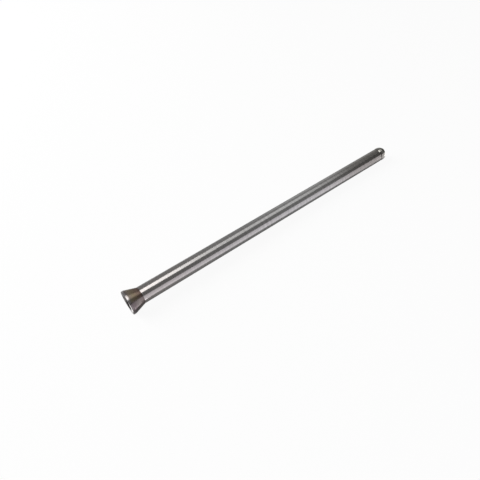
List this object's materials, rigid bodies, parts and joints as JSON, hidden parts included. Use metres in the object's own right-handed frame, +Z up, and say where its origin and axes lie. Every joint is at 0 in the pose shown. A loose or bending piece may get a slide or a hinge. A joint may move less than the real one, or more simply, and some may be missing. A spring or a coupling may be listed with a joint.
{
  "type": "engine pushrod",
  "caption": "Tubular engine pushrod lying on its side: a straight steel tube with a flared socket cup at one end and a ball at the other.",
  "frame": {"origin": "centre of the spherical seat in the socket of the cup end", "axes": "+X along the rod from the cup to the ball, +Z up as it lies on its side"},
  "size_m": [0.2141, 0.0136, 0.0136],
  "materials": {
    "tube_steel": "bright ground steel with fine rings round the tube",
    "cup_steel": "hardened steel with a brown heat tint",
    "ball_steel": "hardened steel, dark and polished"
  },
  "bodies": {
    "root": {"tube": "tube_steel", "cup_end": "cup_steel", "ball_end": "ball_steel"}
  },
  "joints": []
}
